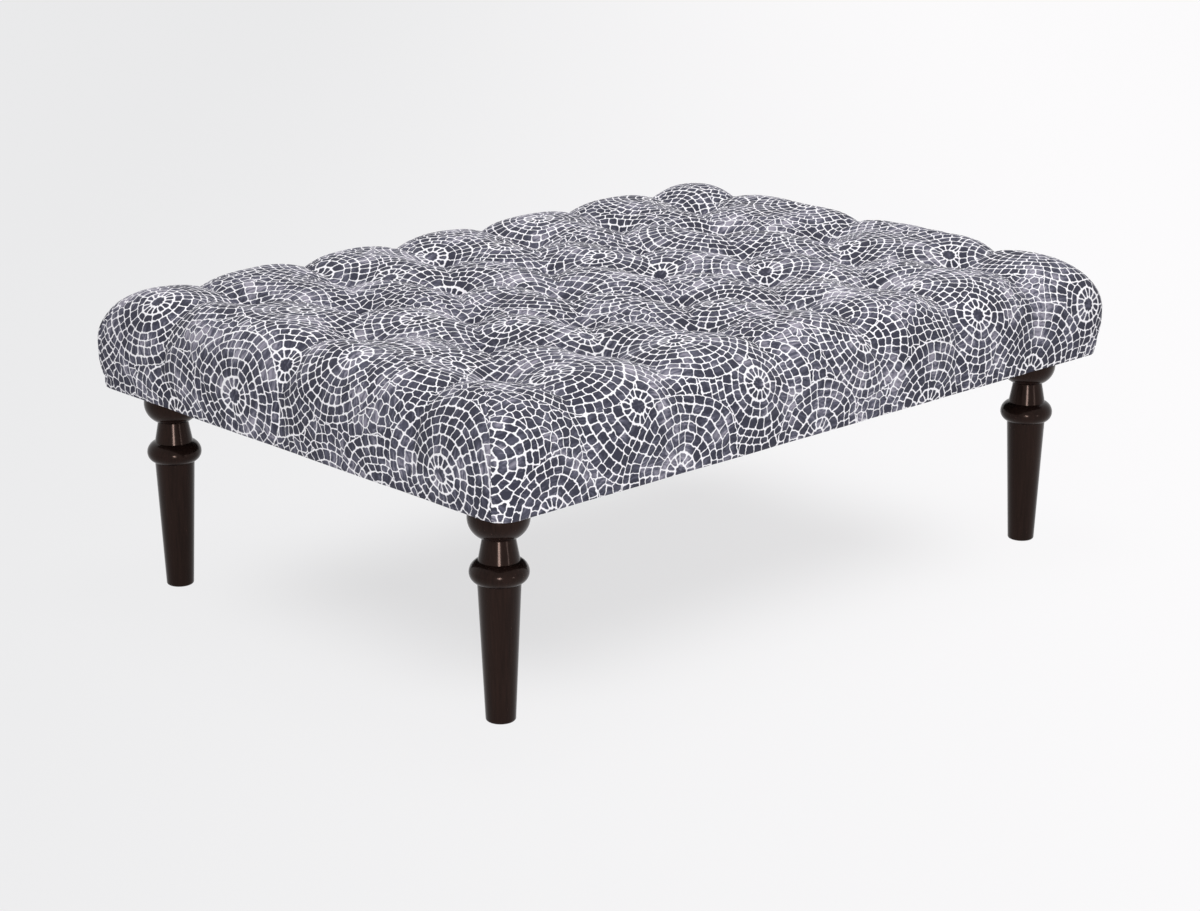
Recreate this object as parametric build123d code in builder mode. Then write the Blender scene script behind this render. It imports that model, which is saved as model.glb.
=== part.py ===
from build123d import *
from math import cos, hypot, radians, sin, sqrt
import os

# A tufted ottoman coffee table on four turned legs.
# Lengths are in millimetres. The origin is on the floor under the middle of the table,
# +X runs along its long side, +Y to the rear and +Z up.

os.makedirs("parts", exist_ok=True)

# Upholstered body
BODY_LENGTH = 1160.0
BODY_DEPTH = 850.0
HEM_HEIGHT = 290.0
PAD_RISE = 75.0
SIDE_BULGE = 5.5
CORNER_RADIUS = 28.0
TOP_CORNER_RADIUS = 62.0
SIDE_SHARES = (0.0, 0.33, 0.67, 1.0)
ROLL_ANGLES = (0.0, 22.5, 45.0, 67.5, 90.0)

# Layers of the upholstery
FABRIC = 1.5
WADDING = 6.0
LAYER_GAP = 0.3
FLANGE_WIDTH = 36.0
FLANGE_CORNER_RADIUS = 12.0
CAMBRIC = 0.5
CAMBRIC_INSET = 13.0
CAMBRIC_CORNER_RADIUS = 16.0

# Tufts, in rows of six and five
TUFT_MARGIN_X = 142.5
TUFT_MARGIN_Y = 160.0
TUFTS_IN_LONG_ROW = 6
TUFT_ROWS = 5
TUFT_DEPTH = 42.0
TUFT_REACH = 72.0
TUFT_THROAT = 9.0
PUFF_ROUND = 87.0
VALLEY_DEPTH = 8.0
VALLEY_ROUND = 60.0
PLEAT_DEPTH = 8.0
PLEAT_ROUND = 45.0
PLEAT_TILT = 5.0

# Tuft ties
TWINE_RADIUS = 1.0
TWINE_GAP = 0.3
TWINE_HOLE_RADIUS = 3.0
KNOT_RADIUS = 3.0
KNOT_HEIGHT = 4.0
WASHER_RADIUS = 12.0
WASHER_THICKNESS = 1.6

# Wooden frame
RAIL_HEIGHT = 52.5
RAIL_THICKNESS = 22.0
DECK_THICKNESS = 12.0
BRACE_THICKNESS = 22.0
BRACE_HEIGHT = 44.0
BRACE_SPACING = 437.5
BLOCK_LENGTH = 80.0
BLOCK_DEPTH = 100.0
BLOCK_HEIGHT = 38.0
BLOCK_CHAMFER = 34.0

# Turned legs, heights above the floor and radii
LEG_INSET_X = 66.7
LEG_INSET_Y = 79.8
FOOT_RADIUS = 19.2
FOOT_ROUND = 3.0
TAPER_TOP_HEIGHT = 184.0
TAPER_TOP_RADIUS = 27.5
BEAD_LIP_RADIUS = 29.0
BEAD_MIDDLE_HEIGHT = 197.0
BEAD_RADIUS = 37.7
NECK_BASE_HEIGHT = 212.5
NECK_BASE_RADIUS = 26.3
NECK_TOP_HEIGHT = 241.5
NECK_TOP_RADIUS = 20.9
BALL_LIP_RADIUS = 23.0
BALL_LIP_HEIGHT = 242.3
BALL_MIDDLE_HEIGHT = 268.0
BALL_RADIUS = 39.3
BALL_TOP_RADIUS = 30.0

# Glides
GLIDE_RADIUS = 12.0
GLIDE_THICKNESS = 3.0
GLIDE_PROUD = 1.0
GLIDE_ROUND = 0.7
GLIDE_NAIL_RADIUS = 1.2
GLIDE_NAIL_LENGTH = 14.0

# Leg bolts and T-nuts
BOLT_RADIUS = 4.0
BOLT_IN_LEG = 40.0
BOLT_PAST_NUT = 3.0
BOLT_POINT = 5.0
BOLT_CHAMFER = 1.0
BOLT_FIT = 0.2
NUT_FLANGE_RADIUS = 11.0
NUT_FLANGE_THICKNESS = 1.6
NUT_BARREL_RADIUS = 5.2
NUT_BARREL_LENGTH = 10.0

# Wood screws
SCREW_HEAD_RADIUS = 4.0
SCREW_HEAD_HEIGHT = 3.5
SCREW_SHANK_RADIUS = 2.0
SCREW_POINT = 5.0
SCREW_FIT = 0.15
FRAME_SCREW_LENGTH = 45.0
DECK_SCREW_LENGTH = 32.0
RAIL_SCREW_SPACING = 28.0
RAIL_SCREW_EDGE = 7.0
RAIL_SCREW_SINK = 3.0
BLOCK_SCREW_SPREAD_X = 24.0
BLOCK_SCREW_SPREAD_Y = 20.0
BRACE_SCREW_SPACING = 20.0
LONG_RAIL_SCREW_PITCH = 165.0
SHORT_RAIL_SCREW_PITCH = 190.0
BRACE_DECK_SCREW_PITCH = 132.5

# Staples
STAPLE_WIDTH = 11.0
STAPLE_WIRE = 1.2
STAPLE_CROWN = 0.6
STAPLE_LEG = 9.0
STAPLE_FIT = 0.15
COVER_STAPLE_INSET = 6.0
COVER_STAPLE_PITCH = 62.0
CAMBRIC_STAPLE_INSET = 16.0
CAMBRIC_STAPLE_PITCH = 88.0

OVERRUN = 4.0

# Levels
frame_bottom = HEM_HEIGHT + FABRIC
rail_top = frame_bottom + RAIL_HEIGHT
deck_top = rail_top + DECK_THICKNESS
pad_top = deck_top + PAD_RISE
cambric_top = HEM_HEIGHT - STAPLE_CROWN
cambric_bottom = cambric_top - CAMBRIC
block_top = frame_bottom + BLOCK_HEIGHT
tuft_bottom = pad_top - TUFT_DEPTH

# Depths of the layers under the cover's face
wadding_face = FABRIC + LAYER_GAP
wadding_back = wadding_face + WADDING
frame_depth_in = wadding_back + LAYER_GAP

# Outline of the frame
frame_half_x = BODY_LENGTH / 2 - frame_depth_in
frame_half_y = BODY_DEPTH / 2 - frame_depth_in
frame_corner = CORNER_RADIUS - frame_depth_in
rail_inner_x = frame_half_x - RAIL_THICKNESS
rail_inner_y = frame_half_y - RAIL_THICKNESS
rail_middle_x = frame_half_x - RAIL_THICKNESS / 2
rail_middle_y = frame_half_y - RAIL_THICKNESS / 2

# Places of the legs and the tufts
leg_x = BODY_LENGTH / 2 - LEG_INSET_X
leg_y = BODY_DEPTH / 2 - LEG_INSET_Y
CORNERS = {"front_left": (-1, -1), "front_right": (1, -1), "rear_left": (-1, 1), "rear_right": (1, 1)}
tuft_half_pitch = (BODY_LENGTH / 2 - TUFT_MARGIN_X) / (TUFTS_IN_LONG_ROW - 1)
tuft_row_pitch = (BODY_DEPTH - 2 * TUFT_MARGIN_Y) / (TUFT_ROWS - 1)


def write(builder, label):
    """Label a finished piece and write its file."""
    builder.part.label = label
    export_step(builder.part, f"parts/{label}.step")


def tuft_steps():
    """Each tuft as whole steps from the middle, of half a pitch along X and one row along Y."""
    steps = []
    for row in range(TUFT_ROWS):
        count = TUFTS_IN_LONG_ROW - row % 2
        row_step = row - (TUFT_ROWS - 1) // 2
        steps += [(2 * place - (count - 1), row_step) for place in range(count)]
    return steps


def tuft_point(step, height):
    """The point of a tuft at a height."""
    return (step[0] * tuft_half_pitch, step[1] * tuft_row_pitch, height)


TUFTS = tuft_steps()
last_column = TUFTS_IN_LONG_ROW - 1
last_row = (TUFT_ROWS - 1) // 2


def valley_lines():
    """First and last tuft of each diagonal line of tufts, which the fabric's valleys follow."""
    lines = []
    for lean in (1, -1):
        for offset in sorted({step[0] - lean * step[1] for step in TUFTS}):
            line = sorted((s for s in TUFTS if s[0] - lean * s[1] == offset), key=lambda s: s[1])
            if len(line) > 1:
                lines.append((line[0], line[-1]))
    return lines


def pleat_starts():
    """Each outer tuft with the direction of the pleat that runs from it to the nearest side."""
    starts = [(step, (0, step[1] / last_row)) for step in TUFTS if abs(step[1]) == last_row]
    starts += [(step, (step[0] / last_column, 0)) for step in TUFTS if abs(step[0]) == last_column]
    return starts


def body_outline(spread, corner):
    """The body's rounded rectangle, standing spread outside the hem line."""
    RectangleRounded(BODY_LENGTH + 2 * spread, BODY_DEPTH + 2 * spread, corner)


def tuft_tool(skin):
    """The hollow round one tuft, with its rim's plane at zero, a depth skin under the cover's face."""
    run = TUFT_REACH - TUFT_THROAT
    chord = hypot(run, TUFT_DEPTH)
    sink = sqrt(PUFF_ROUND**2 - (chord / 2) ** 2)
    centre_r = (TUFT_REACH + TUFT_THROAT) / 2 + sink * TUFT_DEPTH / chord
    centre_z = -TUFT_DEPTH / 2 - sink * run / chord
    shoulder = PUFF_ROUND - skin

    def on_shoulder(height):
        return (centre_r - sqrt(shoulder**2 - (height - centre_z) ** 2), height)

    throat = on_shoulder(-TUFT_DEPTH - skin)
    rim = on_shoulder((centre_z + PUFF_ROUND) / 2 - skin)
    middle = on_shoulder((throat[1] + rim[1]) / 2)
    with BuildPart() as hollow:
        with BuildSketch(Plane.XZ):
            with BuildLine():
                Polyline((rim[0], rim[1]), (rim[0], OVERRUN), (0, OVERRUN), (0, throat[1]), throat)
                ThreePointArc(throat, middle, rim)
            make_face()
        revolve(axis=Axis.Z)
    return hollow.part


def channel_tool(start, heading, length, radius):
    """A round channel from a point on its axis along a heading."""
    with BuildPart() as channel:
        with BuildSketch(Plane(origin=start, z_dir=heading)):
            Circle(radius)
        extrude(amount=length)
    return channel.part


def cushion_tools(skin):
    """What the tufts, valleys and pleats take off the cushion, a depth skin under the cover's face."""
    hollow = tuft_tool(skin)
    tools = [hollow.moved(Location(tuft_point(step, pad_top))) for step in TUFTS]
    valley_axis = pad_top + VALLEY_ROUND - VALLEY_DEPTH
    for first, last in valley_lines():
        start = Vector(*tuft_point(first, valley_axis))
        run = Vector(*tuft_point(last, valley_axis)) - start
        tools.append(channel_tool(start, run, run.length, VALLEY_ROUND + skin))
    pleat_axis = pad_top + PLEAT_ROUND - PLEAT_DEPTH
    slope = cos(radians(PLEAT_TILT))
    for step, side in pleat_starts():
        margin = abs(side[0]) * TUFT_MARGIN_X + abs(side[1]) * TUFT_MARGIN_Y
        heading = (side[0] * slope, side[1] * slope, -sin(radians(PLEAT_TILT)))
        start = tuft_point(step, pleat_axis)
        tools.append(channel_tool(start, heading, margin + SIDE_BULGE + OVERRUN, PLEAT_ROUND + skin))
    return tools


def tufted_block(skin, side_fill, base):
    """The cushion's body a depth skin inside the cover's face, from the height base up, with its
    crown, drawn-in sides, tufts, valleys and pleats. side_fill is what fills out the bulged sides."""
    bulge = SIDE_BULGE - side_fill
    corner = CORNER_RADIUS - skin
    tools = cushion_tools(skin)
    with BuildPart() as block:
        for share in SIDE_SHARES:
            with BuildSketch(Plane.XY.offset(base + share * (deck_top - base))):
                body_outline(bulge * (1 - (1 - share) ** 2) - skin, corner)
        loft()
        for angle in ROLL_ANGLES:
            rise = (PAD_RISE - skin) * sin(radians(angle))
            reach = (PAD_RISE - skin - side_fill) * cos(radians(angle))
            widening = (TOP_CORNER_RADIUS - CORNER_RADIUS) * (1 - cos(radians(angle)))
            with BuildSketch(Plane.XY.offset(deck_top + rise)):
                body_outline(SIDE_BULGE - PAD_RISE + reach, corner + widening)
        loft()
        add(tools, mode=Mode.SUBTRACT)
    return block.part


def wood_screw(length, fit=0):
    """A countersunk wood screw pointing down, its head's face at zero, or one larger by fit."""
    with BuildPart() as screw:
        with BuildSketch(Plane.XZ):
            with BuildLine():
                Polyline(
                    (0, 0),
                    (SCREW_HEAD_RADIUS + fit, 0),
                    (SCREW_SHANK_RADIUS + fit, -SCREW_HEAD_HEIGHT),
                    (SCREW_SHANK_RADIUS + fit, SCREW_POINT - length),
                    (0, -length - fit),
                    close=True,
                )
            make_face()
        revolve(axis=Axis.Z)
    return screw.part


def screw_hole(length):
    """The countersunk hole for a screw, open above its head."""
    with BuildPart() as hole:
        add(wood_screw(length, SCREW_FIT))
        Cylinder(SCREW_HEAD_RADIUS + SCREW_FIT, OVERRUN, align=(Align.CENTER, Align.CENTER, Align.MIN))
    return hole.part


def staple(leg_fit, with_crown):
    """A staple with its crown's upper face at zero, or only the two slots for its legs."""
    leg_x_step = (STAPLE_WIDTH - STAPLE_WIRE) / 2
    leg_side = STAPLE_WIRE + 2 * leg_fit
    with BuildPart() as piece:
        with Locations((-leg_x_step, 0, 0), (leg_x_step, 0, 0)):
            Box(leg_side, leg_side, STAPLE_LEG + leg_fit, align=(Align.CENTER, Align.CENTER, Align.MIN))
        if with_crown:
            Box(STAPLE_WIDTH, STAPLE_WIRE, STAPLE_CROWN, align=(Align.CENTER, Align.CENTER, Align.MAX))
    return piece.part


def staple_places(inset, pitch, height):
    """Staples along the rails, inset from the frame's outline, at even steps near the pitch."""
    places = []
    line_x = frame_half_x - inset
    line_y = frame_half_y - inset
    long_run = 2 * (rail_inner_x - STAPLE_WIDTH)
    short_run = 2 * (rail_inner_y - STAPLE_WIDTH)
    long_count = round(long_run / pitch)
    short_count = round(short_run / pitch)
    for place in range(long_count + 1):
        along = -long_run / 2 + place * long_run / long_count
        places += [Location((along, side * line_y, height), (0, 0, 0)) for side in (-1, 1)]
    for place in range(short_count + 1):
        along = -short_run / 2 + place * short_run / short_count
        places += [Location((side * line_x, along, height), (0, 0, 90)) for side in (-1, 1)]
    return places


# Screw places, each a plane whose normal points out of the wood
rail_screw_x = rail_inner_x + RAIL_SCREW_EDGE
rail_screw_y = frame_half_y - RAIL_SCREW_SINK
rail_middle = frame_bottom + RAIL_HEIGHT / 2
rail_screw_planes = [
    Plane(origin=(x * rail_screw_x, y * rail_screw_y, rail_middle + z), z_dir=(0, y, 0))
    for x, y in CORNERS.values()
    for z in (-RAIL_SCREW_SPACING / 2, RAIL_SCREW_SPACING / 2)
]
block_middle = frame_bottom + BLOCK_HEIGHT / 2
block_screw_planes = [
    Plane(origin=(x * leg_x + step, y * frame_half_y, block_middle), z_dir=(0, y, 0))
    for x, y in CORNERS.values()
    for step in (-BLOCK_SCREW_SPREAD_X, BLOCK_SCREW_SPREAD_X)
]
block_screw_planes += [
    Plane(origin=(x * frame_half_x, y * leg_y + step, block_middle), z_dir=(x, 0, 0))
    for x, y in CORNERS.values()
    for step in (-BLOCK_SCREW_SPREAD_Y, BLOCK_SCREW_SPREAD_Y)
]
brace_middle = rail_top - BRACE_HEIGHT / 2
brace_screw_planes = [
    Plane(origin=(x * BRACE_SPACING / 2, y * frame_half_y, brace_middle + z), z_dir=(0, y, 0))
    for x, y in CORNERS.values()
    for z in (-BRACE_SCREW_SPACING / 2, BRACE_SCREW_SPACING / 2)
]
deck_screw_planes = [
    Plane.XY.offset(deck_top).move(Location((step * LONG_RAIL_SCREW_PITCH, side * rail_middle_y, 0)))
    for step in (-3, -2, -1, 0, 1, 2, 3)
    for side in (-1, 1)
]
deck_screw_planes += [
    Plane.XY.offset(deck_top).move(Location((side * rail_middle_x, step * SHORT_RAIL_SCREW_PITCH, 0)))
    for step in (-1, 0, 1)
    for side in (-1, 1)
]
deck_screw_planes += [
    Plane.XY.offset(deck_top).move(Location((side * BRACE_SPACING / 2, step * BRACE_DECK_SCREW_PITCH, 0)))
    for step in (-2, -1, 0, 1, 2)
    for side in (-1, 1)
]
cover_staple_places = staple_places(COVER_STAPLE_INSET, COVER_STAPLE_PITCH, HEM_HEIGHT)
cambric_staple_places = staple_places(CAMBRIC_STAPLE_INSET, CAMBRIC_STAPLE_PITCH, cambric_bottom)

frame_screw = wood_screw(FRAME_SCREW_LENGTH)
frame_screw_hole = screw_hole(FRAME_SCREW_LENGTH)
deck_screw = wood_screw(DECK_SCREW_LENGTH)
deck_screw_hole = screw_hole(DECK_SCREW_LENGTH)
staple_slots = staple(STAPLE_FIT, False)


def cut_frame_fasteners():
    """Cut the screw holes and staple slots of the frame into the piece being made."""
    with Locations(*rail_screw_planes, *block_screw_planes, *brace_screw_planes):
        add(frame_screw_hole, mode=Mode.SUBTRACT)
    with Locations(*deck_screw_planes):
        add(deck_screw_hole, mode=Mode.SUBTRACT)
    with Locations(*cover_staple_places, *cambric_staple_places):
        add(staple_slots, mode=Mode.SUBTRACT)


def twine_holes(radius):
    """Cut the hole of every tuft's twine, from the washers up, into the piece being made."""
    with Locations(*[tuft_point(step, rail_top - WASHER_THICKNESS) for step in TUFTS]):
        Cylinder(
            radius,
            pad_top - rail_top + WASHER_THICKNESS,
            align=(Align.CENTER, Align.CENTER, Align.MIN),
            mode=Mode.SUBTRACT,
        )


# Fabric cover: a tufted shell that turns in under the rails
with BuildPart() as cover:
    add(tufted_block(0, 0, HEM_HEIGHT))
    add(tufted_block(FABRIC, 0, frame_bottom), mode=Mode.SUBTRACT)
    with BuildSketch(Plane.XY.offset(HEM_HEIGHT)):
        RectangleRounded(BODY_LENGTH - 2 * FLANGE_WIDTH, BODY_DEPTH - 2 * FLANGE_WIDTH, FLANGE_CORNER_RADIUS)
    extrude(amount=FABRIC, mode=Mode.SUBTRACT)
    with Locations(*cover_staple_places, *cambric_staple_places):
        add(staple_slots, mode=Mode.SUBTRACT)
write(cover, "fabric_cover")

# Wadding: wraps the foam and the rails' outer faces
with BuildPart() as wadding:
    add(tufted_block(wadding_face, 0, frame_bottom))
    add(tufted_block(wadding_back, SIDE_BULGE, frame_bottom), mode=Mode.SUBTRACT)
    twine_holes(TWINE_RADIUS + TWINE_GAP)
write(wadding, "wadding")

# Foam pad: stands on the deck, under the wadding
with BuildPart() as foam:
    add(tufted_block(frame_depth_in, SIDE_BULGE, frame_bottom))
    split(bisect_by=Plane.XY.offset(deck_top), keep=Keep.TOP)
    twine_holes(TWINE_RADIUS + TWINE_GAP)
write(foam, "foam_pad")

# Deck: plywood top of the frame, bored for the twines
with BuildPart() as deck:
    with BuildSketch(Plane.XY.offset(rail_top)):
        RectangleRounded(2 * frame_half_x, 2 * frame_half_y, frame_corner)
    extrude(amount=DECK_THICKNESS)
    twine_holes(TWINE_HOLE_RADIUS)
    with Locations(*deck_screw_planes):
        add(deck_screw_hole, mode=Mode.SUBTRACT)
write(deck, "deck_panel")


def rail(label, middle, length, depth):
    """One rail of the frame, cut to the frame's rounded outline."""
    with BuildPart() as piece:
        with BuildSketch(Plane.XY.offset(frame_bottom)):
            with Locations(middle):
                Rectangle(length, depth)
            RectangleRounded(2 * frame_half_x, 2 * frame_half_y, frame_corner, mode=Mode.INTERSECT)
        extrude(amount=RAIL_HEIGHT)
        cut_frame_fasteners()
    write(piece, label)


for side, name in ((-1, "front"), (1, "rear")):
    rail(f"{name}_rail", (0, side * rail_middle_y), 2 * frame_half_x, RAIL_THICKNESS)
for side, name in ((-1, "left"), (1, "right")):
    rail(f"{name}_rail", (side * rail_middle_x, 0), RAIL_THICKNESS, 2 * rail_inner_y)

# Cross braces under the deck, between the long rails
for side, name in ((-1, "left"), (1, "right")):
    with BuildPart() as brace:
        with BuildSketch(Plane.XY.offset(rail_top)):
            with Locations((side * BRACE_SPACING / 2, 0)):
                Rectangle(BRACE_THICKNESS, 2 * rail_inner_y)
        extrude(amount=-BRACE_HEIGHT)
        cut_frame_fasteners()
    write(brace, f"{name}_cross_brace")


def leg_profile():
    """The turned leg's profile from its foot to its top, clear of the glide."""
    top = cambric_bottom
    bottom = GLIDE_PROUD
    bead_under = ((BEAD_RADIUS - BEAD_LIP_RADIUS) ** 2 + (BEAD_MIDDLE_HEIGHT - TAPER_TOP_HEIGHT) ** 2) / (
        2 * (BEAD_RADIUS - BEAD_LIP_RADIUS)
    )
    bead_over = ((BEAD_RADIUS - NECK_BASE_RADIUS) ** 2 + (NECK_BASE_HEIGHT - BEAD_MIDDLE_HEIGHT) ** 2) / (
        2 * (BEAD_RADIUS - NECK_BASE_RADIUS)
    )
    ball_under = ((BALL_RADIUS - BALL_LIP_RADIUS) ** 2 + (BALL_MIDDLE_HEIGHT - BALL_LIP_HEIGHT) ** 2) / (
        2 * (BALL_RADIUS - BALL_LIP_RADIUS)
    )
    ball_over = ((BALL_RADIUS - BALL_TOP_RADIUS) ** 2 + (top - BALL_MIDDLE_HEIGHT) ** 2) / (
        2 * (BALL_RADIUS - BALL_TOP_RADIUS)
    )
    foot_radius = FOOT_RADIUS - FOOT_ROUND
    foot_middle = FOOT_ROUND * sqrt(2) / 2
    Line((0, bottom), (foot_radius, bottom))
    ThreePointArc(
        (foot_radius, bottom),
        (foot_radius + foot_middle, bottom + FOOT_ROUND - foot_middle),
        (FOOT_RADIUS, bottom + FOOT_ROUND),
    )
    Line((FOOT_RADIUS, bottom + FOOT_ROUND), (TAPER_TOP_RADIUS, TAPER_TOP_HEIGHT))
    Line((TAPER_TOP_RADIUS, TAPER_TOP_HEIGHT), (BEAD_LIP_RADIUS, TAPER_TOP_HEIGHT))
    RadiusArc((BEAD_LIP_RADIUS, TAPER_TOP_HEIGHT), (BEAD_RADIUS, BEAD_MIDDLE_HEIGHT), -bead_under)
    RadiusArc((BEAD_RADIUS, BEAD_MIDDLE_HEIGHT), (NECK_BASE_RADIUS, NECK_BASE_HEIGHT), -bead_over)
    Line((NECK_BASE_RADIUS, NECK_BASE_HEIGHT), (NECK_TOP_RADIUS, NECK_TOP_HEIGHT))
    Line((NECK_TOP_RADIUS, NECK_TOP_HEIGHT), (BALL_LIP_RADIUS, BALL_LIP_HEIGHT))
    RadiusArc((BALL_LIP_RADIUS, BALL_LIP_HEIGHT), (BALL_RADIUS, BALL_MIDDLE_HEIGHT), -ball_under)
    RadiusArc((BALL_RADIUS, BALL_MIDDLE_HEIGHT), (BALL_TOP_RADIUS, top), -ball_over)
    Line((BALL_TOP_RADIUS, top), (0, top))
    Line((0, top), (0, bottom))


def corner_pieces(name, x, y):
    """The leg, glide, leg bolt, T-nut and corner block of one corner."""
    place = (x * leg_x, y * leg_y)
    upright = Plane(origin=(*place, 0), x_dir=(1, 0, 0), z_dir=(0, -1, 0))
    centre_line = Axis((*place, 0), (0, 0, 1))
    bolt_bottom = cambric_bottom - BOLT_IN_LEG
    bolt_top = block_top + NUT_FLANGE_THICKNESS + BOLT_PAST_NUT
    glide_top = GLIDE_THICKNESS

    with BuildPart() as leg:
        with BuildSketch(upright):
            with BuildLine():
                leg_profile()
            make_face()
        revolve(axis=centre_line)
        with Locations((*place, cambric_bottom)):
            Cylinder(
                BOLT_RADIUS + BOLT_FIT,
                BOLT_IN_LEG + BOLT_FIT,
                align=(Align.CENTER, Align.CENTER, Align.MAX),
                mode=Mode.SUBTRACT,
            )
        with Locations((*place, 0)):
            Cylinder(
                GLIDE_RADIUS + BOLT_FIT,
                glide_top,
                align=(Align.CENTER, Align.CENTER, Align.MIN),
                mode=Mode.SUBTRACT,
            )
            Cylinder(
                GLIDE_NAIL_RADIUS + BOLT_FIT,
                glide_top + GLIDE_NAIL_LENGTH + BOLT_FIT,
                align=(Align.CENTER, Align.CENTER, Align.MIN),
                mode=Mode.SUBTRACT,
            )
    write(leg, f"{name}_leg")

    with BuildPart() as glide:
        with BuildSketch(Plane.XY):
            with Locations(place):
                Circle(GLIDE_RADIUS)
        extrude(amount=GLIDE_THICKNESS)
        fillet(glide.edges().group_by(Axis.Z)[0], GLIDE_ROUND)
        with BuildSketch(Plane.XY.offset(glide_top)):
            with Locations(place):
                Circle(GLIDE_NAIL_RADIUS)
        extrude(amount=GLIDE_NAIL_LENGTH)
    write(glide, f"{name}_glide")

    with BuildPart() as bolt:
        with BuildSketch(upright):
            with BuildLine():
                Polyline(
                    (0, bolt_bottom),
                    (BOLT_RADIUS, bolt_bottom + BOLT_POINT),
                    (BOLT_RADIUS, bolt_top - BOLT_CHAMFER),
                    (BOLT_RADIUS - BOLT_CHAMFER, bolt_top),
                    (0, bolt_top),
                    close=True,
                )
            make_face()
        revolve(axis=centre_line)
    write(bolt, f"{name}_leg_bolt")

    with BuildPart() as nut:
        with BuildSketch(Plane.XY.offset(block_top)):
            with Locations(place):
                Circle(NUT_FLANGE_RADIUS)
                Circle(BOLT_RADIUS + BOLT_FIT, mode=Mode.SUBTRACT)
        extrude(amount=NUT_FLANGE_THICKNESS)
        with BuildSketch(Plane.XY.offset(block_top)):
            with Locations(place):
                Circle(NUT_BARREL_RADIUS)
                Circle(BOLT_RADIUS + BOLT_FIT, mode=Mode.SUBTRACT)
        extrude(amount=-NUT_BARREL_LENGTH)
    write(nut, f"{name}_t_nut")

    inner = (x * (rail_inner_x - BLOCK_LENGTH), y * (rail_inner_y - BLOCK_DEPTH))
    middle = (x * (rail_inner_x - BLOCK_LENGTH / 2), y * (rail_inner_y - BLOCK_DEPTH / 2))
    with BuildPart() as block:
        with BuildSketch(Plane.XY.offset(frame_bottom)) as plan:
            with Locations(middle):
                Rectangle(BLOCK_LENGTH, BLOCK_DEPTH)
            chamfer(plan.vertices().sort_by_distance((*inner, frame_bottom))[0], BLOCK_CHAMFER)
            with Locations(place):
                Circle(NUT_BARREL_RADIUS + BOLT_FIT, mode=Mode.SUBTRACT)
        extrude(amount=BLOCK_HEIGHT)
        with Locations(*block_screw_planes):
            add(frame_screw_hole, mode=Mode.SUBTRACT)
    write(block, f"{name}_corner_block")


for corner_name, (corner_x, corner_y) in CORNERS.items():
    corner_pieces(corner_name, corner_x, corner_y)

# Dust cover: cambric under the frame, with a hole for each leg bolt
with BuildPart() as cambric:
    with BuildSketch(Plane.XY.offset(cambric_bottom)):
        RectangleRounded(
            BODY_LENGTH - 2 * CAMBRIC_INSET, BODY_DEPTH - 2 * CAMBRIC_INSET, CAMBRIC_CORNER_RADIUS
        )
        with Locations(*[(x * leg_x, y * leg_y) for x, y in CORNERS.values()]):
            Circle(BOLT_RADIUS + BOLT_FIT, mode=Mode.SUBTRACT)
    extrude(amount=CAMBRIC)
    with Locations(*cambric_staple_places):
        add(staple_slots, mode=Mode.SUBTRACT)
write(cambric, "dust_cover")

# Tuft twines: from the cover's tufts down to a knot under each washer
washer_bottom = rail_top - WASHER_THICKNESS
with BuildPart() as twines:
    with BuildSketch(Plane.XY.offset(washer_bottom)):
        with Locations(*[tuft_point(step, 0) for step in TUFTS]):
            Circle(TWINE_RADIUS)
    extrude(amount=tuft_bottom - FABRIC - washer_bottom)
    with BuildSketch(Plane.XY.offset(washer_bottom)):
        with Locations(*[tuft_point(step, 0) for step in TUFTS]):
            Circle(KNOT_RADIUS)
    extrude(amount=-KNOT_HEIGHT)
write(twines, "tuft_twines")

# Tuft washers: spread each twine's pull under the deck
with BuildPart() as washers:
    with BuildSketch(Plane.XY.offset(washer_bottom)):
        with Locations(*[tuft_point(step, 0) for step in TUFTS]):
            Circle(WASHER_RADIUS)
            Circle(TWINE_RADIUS + TWINE_GAP, mode=Mode.SUBTRACT)
    extrude(amount=WASHER_THICKNESS)
write(washers, "tuft_washers")

# Screws
for label, planes, piece in (
    ("rail_screws", rail_screw_planes, frame_screw),
    ("corner_block_screws", block_screw_planes, frame_screw),
    ("brace_screws", brace_screw_planes, frame_screw),
    ("deck_screws", deck_screw_planes, deck_screw),
):
    with BuildPart() as screws:
        with Locations(*planes):
            add(piece)
    write(screws, label)

# Staples
for label, places in (
    ("cover_staples", cover_staple_places),
    ("dust_cover_staples", cambric_staple_places),
):
    with BuildPart() as staples:
        with Locations(*places):
            add(staple(0, True))
    write(staples, label)
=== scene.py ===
import math
from functools import partialmethod

import bmesh
import bpy
import numpy as np
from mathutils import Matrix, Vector


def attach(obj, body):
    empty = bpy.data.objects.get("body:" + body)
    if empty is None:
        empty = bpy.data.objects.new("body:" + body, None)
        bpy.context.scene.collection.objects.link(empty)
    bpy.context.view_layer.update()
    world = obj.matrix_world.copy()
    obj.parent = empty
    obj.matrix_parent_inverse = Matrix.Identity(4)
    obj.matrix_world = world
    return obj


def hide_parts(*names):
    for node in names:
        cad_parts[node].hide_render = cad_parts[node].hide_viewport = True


# A tufted ottoman coffee table on turned legs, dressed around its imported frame.
# Blender lengths are in metres. The cushion's own sizes are in millimetres, as on a cutting sheet.
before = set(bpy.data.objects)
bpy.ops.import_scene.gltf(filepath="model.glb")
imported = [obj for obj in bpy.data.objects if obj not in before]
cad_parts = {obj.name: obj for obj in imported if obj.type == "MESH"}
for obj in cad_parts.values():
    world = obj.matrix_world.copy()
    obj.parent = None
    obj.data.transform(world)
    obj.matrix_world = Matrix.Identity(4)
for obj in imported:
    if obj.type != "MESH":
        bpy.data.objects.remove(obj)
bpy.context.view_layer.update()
MM = 0.001

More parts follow.
